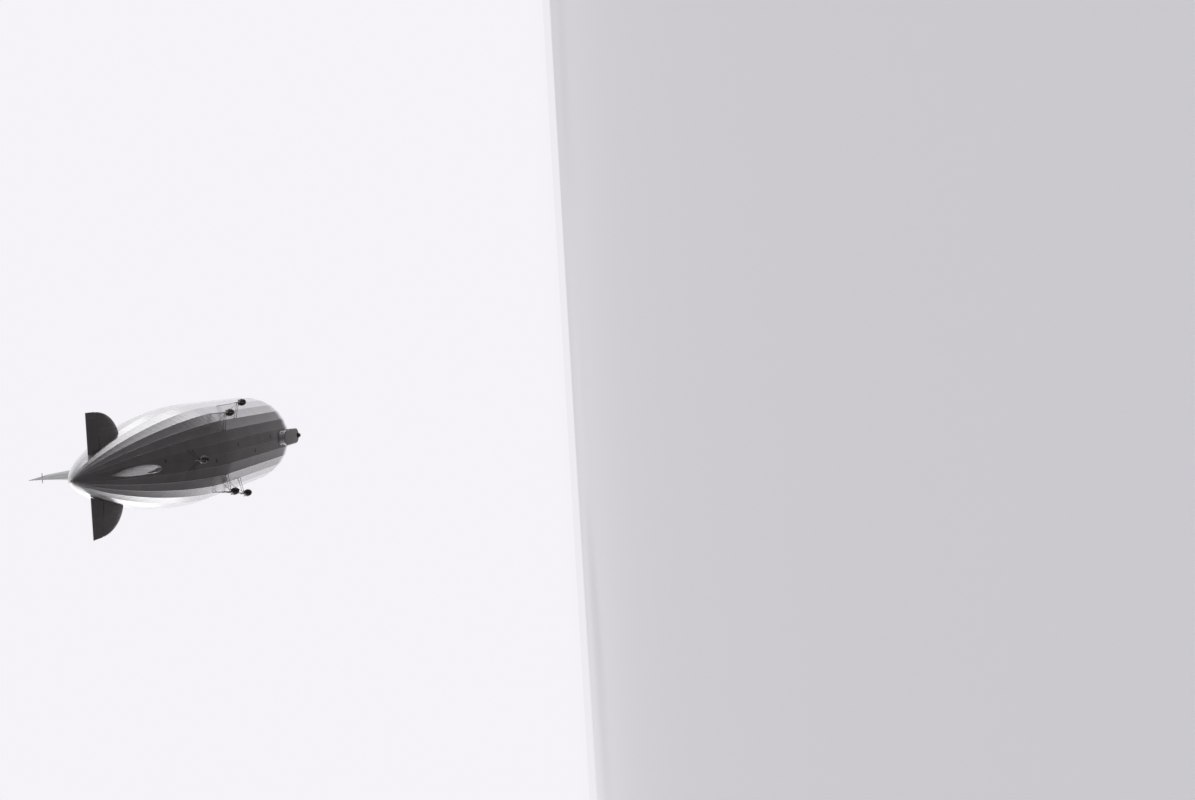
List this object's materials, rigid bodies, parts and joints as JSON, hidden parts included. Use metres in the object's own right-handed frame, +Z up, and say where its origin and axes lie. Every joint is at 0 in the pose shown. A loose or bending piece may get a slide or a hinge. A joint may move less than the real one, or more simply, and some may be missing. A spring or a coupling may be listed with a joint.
{
  "type": "scale model of a rigid passenger airship, 1:10",
  "caption": "Long faceted hull with four fins, rudders and elevators, a windowed gondola under the bow and engine cars with pusher propellers on struts.",
  "frame": {"origin": "on the hull's long axis at the centre of buoyancy, where the air holds the ship up", "axes": "+X to the nose, +Y to port, +Z up"},
  "size_m": [23.807, 3.12, 3.385],
  "materials": {
    "hull_cover": "doped cotton with aluminium powder, satin",
    "surface_cover": "doped cotton with aluminium powder, satin",
    "gondola_skin": "doped fabric over a metal frame, satin",
    "car_skin": "weathered sheet",
    "bare_metal": "weathered, matt",
    "spindle_steel": "turned",
    "engine_block": "as cast",
    "propeller_wood": "varnished, dark",
    "window_glass": "clear, dark from outside",
    "lamp_glass": "clear",
    "cabin_wood": "thin panelling, satin",
    "bumper_rubber": "rubbered canvas, matt"
  },
  "bodies": {
    "airframe": {"hull_stern": "hull_cover", "hull_aft": "hull_cover", "hull_middle_aft": "hull_cover", "hull_middle_fore": "hull_cover", "hull_bow": "hull_cover", "tail_cone": "hull_cover", "tail_lamp": "lamp_glass", "nose_cap": "bare_metal", "mooring_spindle": "spindle_steel", "fin_top": "hull_cover", "fin_bottom": "hull_cover", "fin_port": "hull_cover", "fin_starboard": "hull_cover", "car_fore_port": "car_skin", "car_fore_starboard": "car_skin", "car_aft_port": "car_skin", "car_aft_starboard": "car_skin", "car_tail": "car_skin", "struts_fore_port": "bare_metal", "struts_fore_starboard": "bare_metal", "struts_aft_port": "bare_metal", "struts_aft_starboard": "bare_metal", "struts_tail": "bare_metal", "engine_fore_port": "engine_block", "engine_fore_starboard": "engine_block", "engine_aft_port": "engine_block", "engine_aft_starboard": "engine_block", "engine_tail": "engine_block", "gondola_floor": "gondola_skin", "gondola_front": "gondola_skin", "gondola_wall_port": "gondola_skin", "gondola_wall_starboard": "gondola_skin", "glazing_front": "window_glass", "glazing_port": "window_glass", "glazing_starboard": "window_glass", "bulkhead_control_room": "cabin_wood", "bulkhead_lounge": "cabin_wood", "lounge_furniture": "cabin_wood", "control_room_fittings": "cabin_wood", "bumper_gondola": "bumper_rubber", "bumper_tail_car": "bumper_rubber"},
    "rudder_top": {"rudder_top": "surface_cover"},
    "rudder_bottom": {"rudder_bottom": "surface_cover"},
    "elevator_port": {"elevator_port": "surface_cover"},
    "elevator_starboard": {"elevator_starboard": "surface_cover"},
    "propeller_fore_port": {"propeller_fore_port": "propeller_wood"},
    "propeller_fore_starboard": {"propeller_fore_starboard": "propeller_wood"},
    "propeller_aft_port": {"propeller_aft_port": "propeller_wood"},
    "propeller_aft_starboard": {"propeller_aft_starboard": "propeller_wood"},
    "propeller_tail": {"propeller_tail": "propeller_wood"},
    "door": {"gondola_door": "gondola_skin"}
  },
  "joints": [
    {"name": "rudder_top_hinge", "type": "hinge", "parent": "airframe", "child": "rudder_top", "pos_m": [-10.25, 0, 1.13], "axis": [0, 0, 1], "range_deg": [-20, 20]},
    {"name": "rudder_bottom_hinge", "type": "hinge", "parent": "airframe", "child": "rudder_bottom", "pos_m": [-10.25, 0, -1.13], "axis": [0, 0, 1], "range_deg": [-20, 20]},
    {"name": "elevator_port_hinge", "type": "hinge", "parent": "airframe", "child": "elevator_port", "pos_m": [-10.25, 1.13, 0], "axis": [0, 1, 0], "range_deg": [-20, 20]},
    {"name": "elevator_starboard_hinge", "type": "hinge", "parent": "airframe", "child": "elevator_starboard", "pos_m": [-10.25, -1.13, 0], "axis": [0, 1, 0], "range_deg": [-20, 20]},
    {"name": "propeller_fore_port_spin", "type": "hinge", "parent": "airframe", "child": "propeller_fore_port", "pos_m": [0.72, 1.44, -1.42], "axis": [1, 0, 0], "continuous": true},
    {"name": "propeller_fore_starboard_spin", "type": "hinge", "parent": "airframe", "child": "propeller_fore_starboard", "pos_m": [0.72, -1.44, -1.42], "axis": [1, 0, 0], "continuous": true},
    {"name": "propeller_aft_port_spin", "type": "hinge", "parent": "airframe", "child": "propeller_aft_port", "pos_m": [-1.9, 1.19, -1.56], "axis": [1, 0, 0], "continuous": true},
    {"name": "propeller_aft_starboard_spin", "type": "hinge", "parent": "airframe", "child": "propeller_aft_starboard", "pos_m": [-1.9, -1.19, -1.56], "axis": [1, 0, 0], "continuous": true},
    {"name": "propeller_tail_spin", "type": "hinge", "parent": "airframe", "child": "propeller_tail", "pos_m": [-5.91, 0, -1.57], "axis": [1, 0, 0], "continuous": true},
    {"name": "door_hinge", "type": "hinge", "parent": "airframe", "child": "door", "pos_m": [8.9097, -0.26, -1.55], "axis": [0, 0, 1], "range_deg": [0, 100]}
  ],
  "couplings": [
    {"joint": "rudder_bottom_hinge", "follows": "rudder_top_hinge", "ratio": 1},
    {"joint": "elevator_starboard_hinge", "follows": "elevator_port_hinge", "ratio": 1}
  ]
}
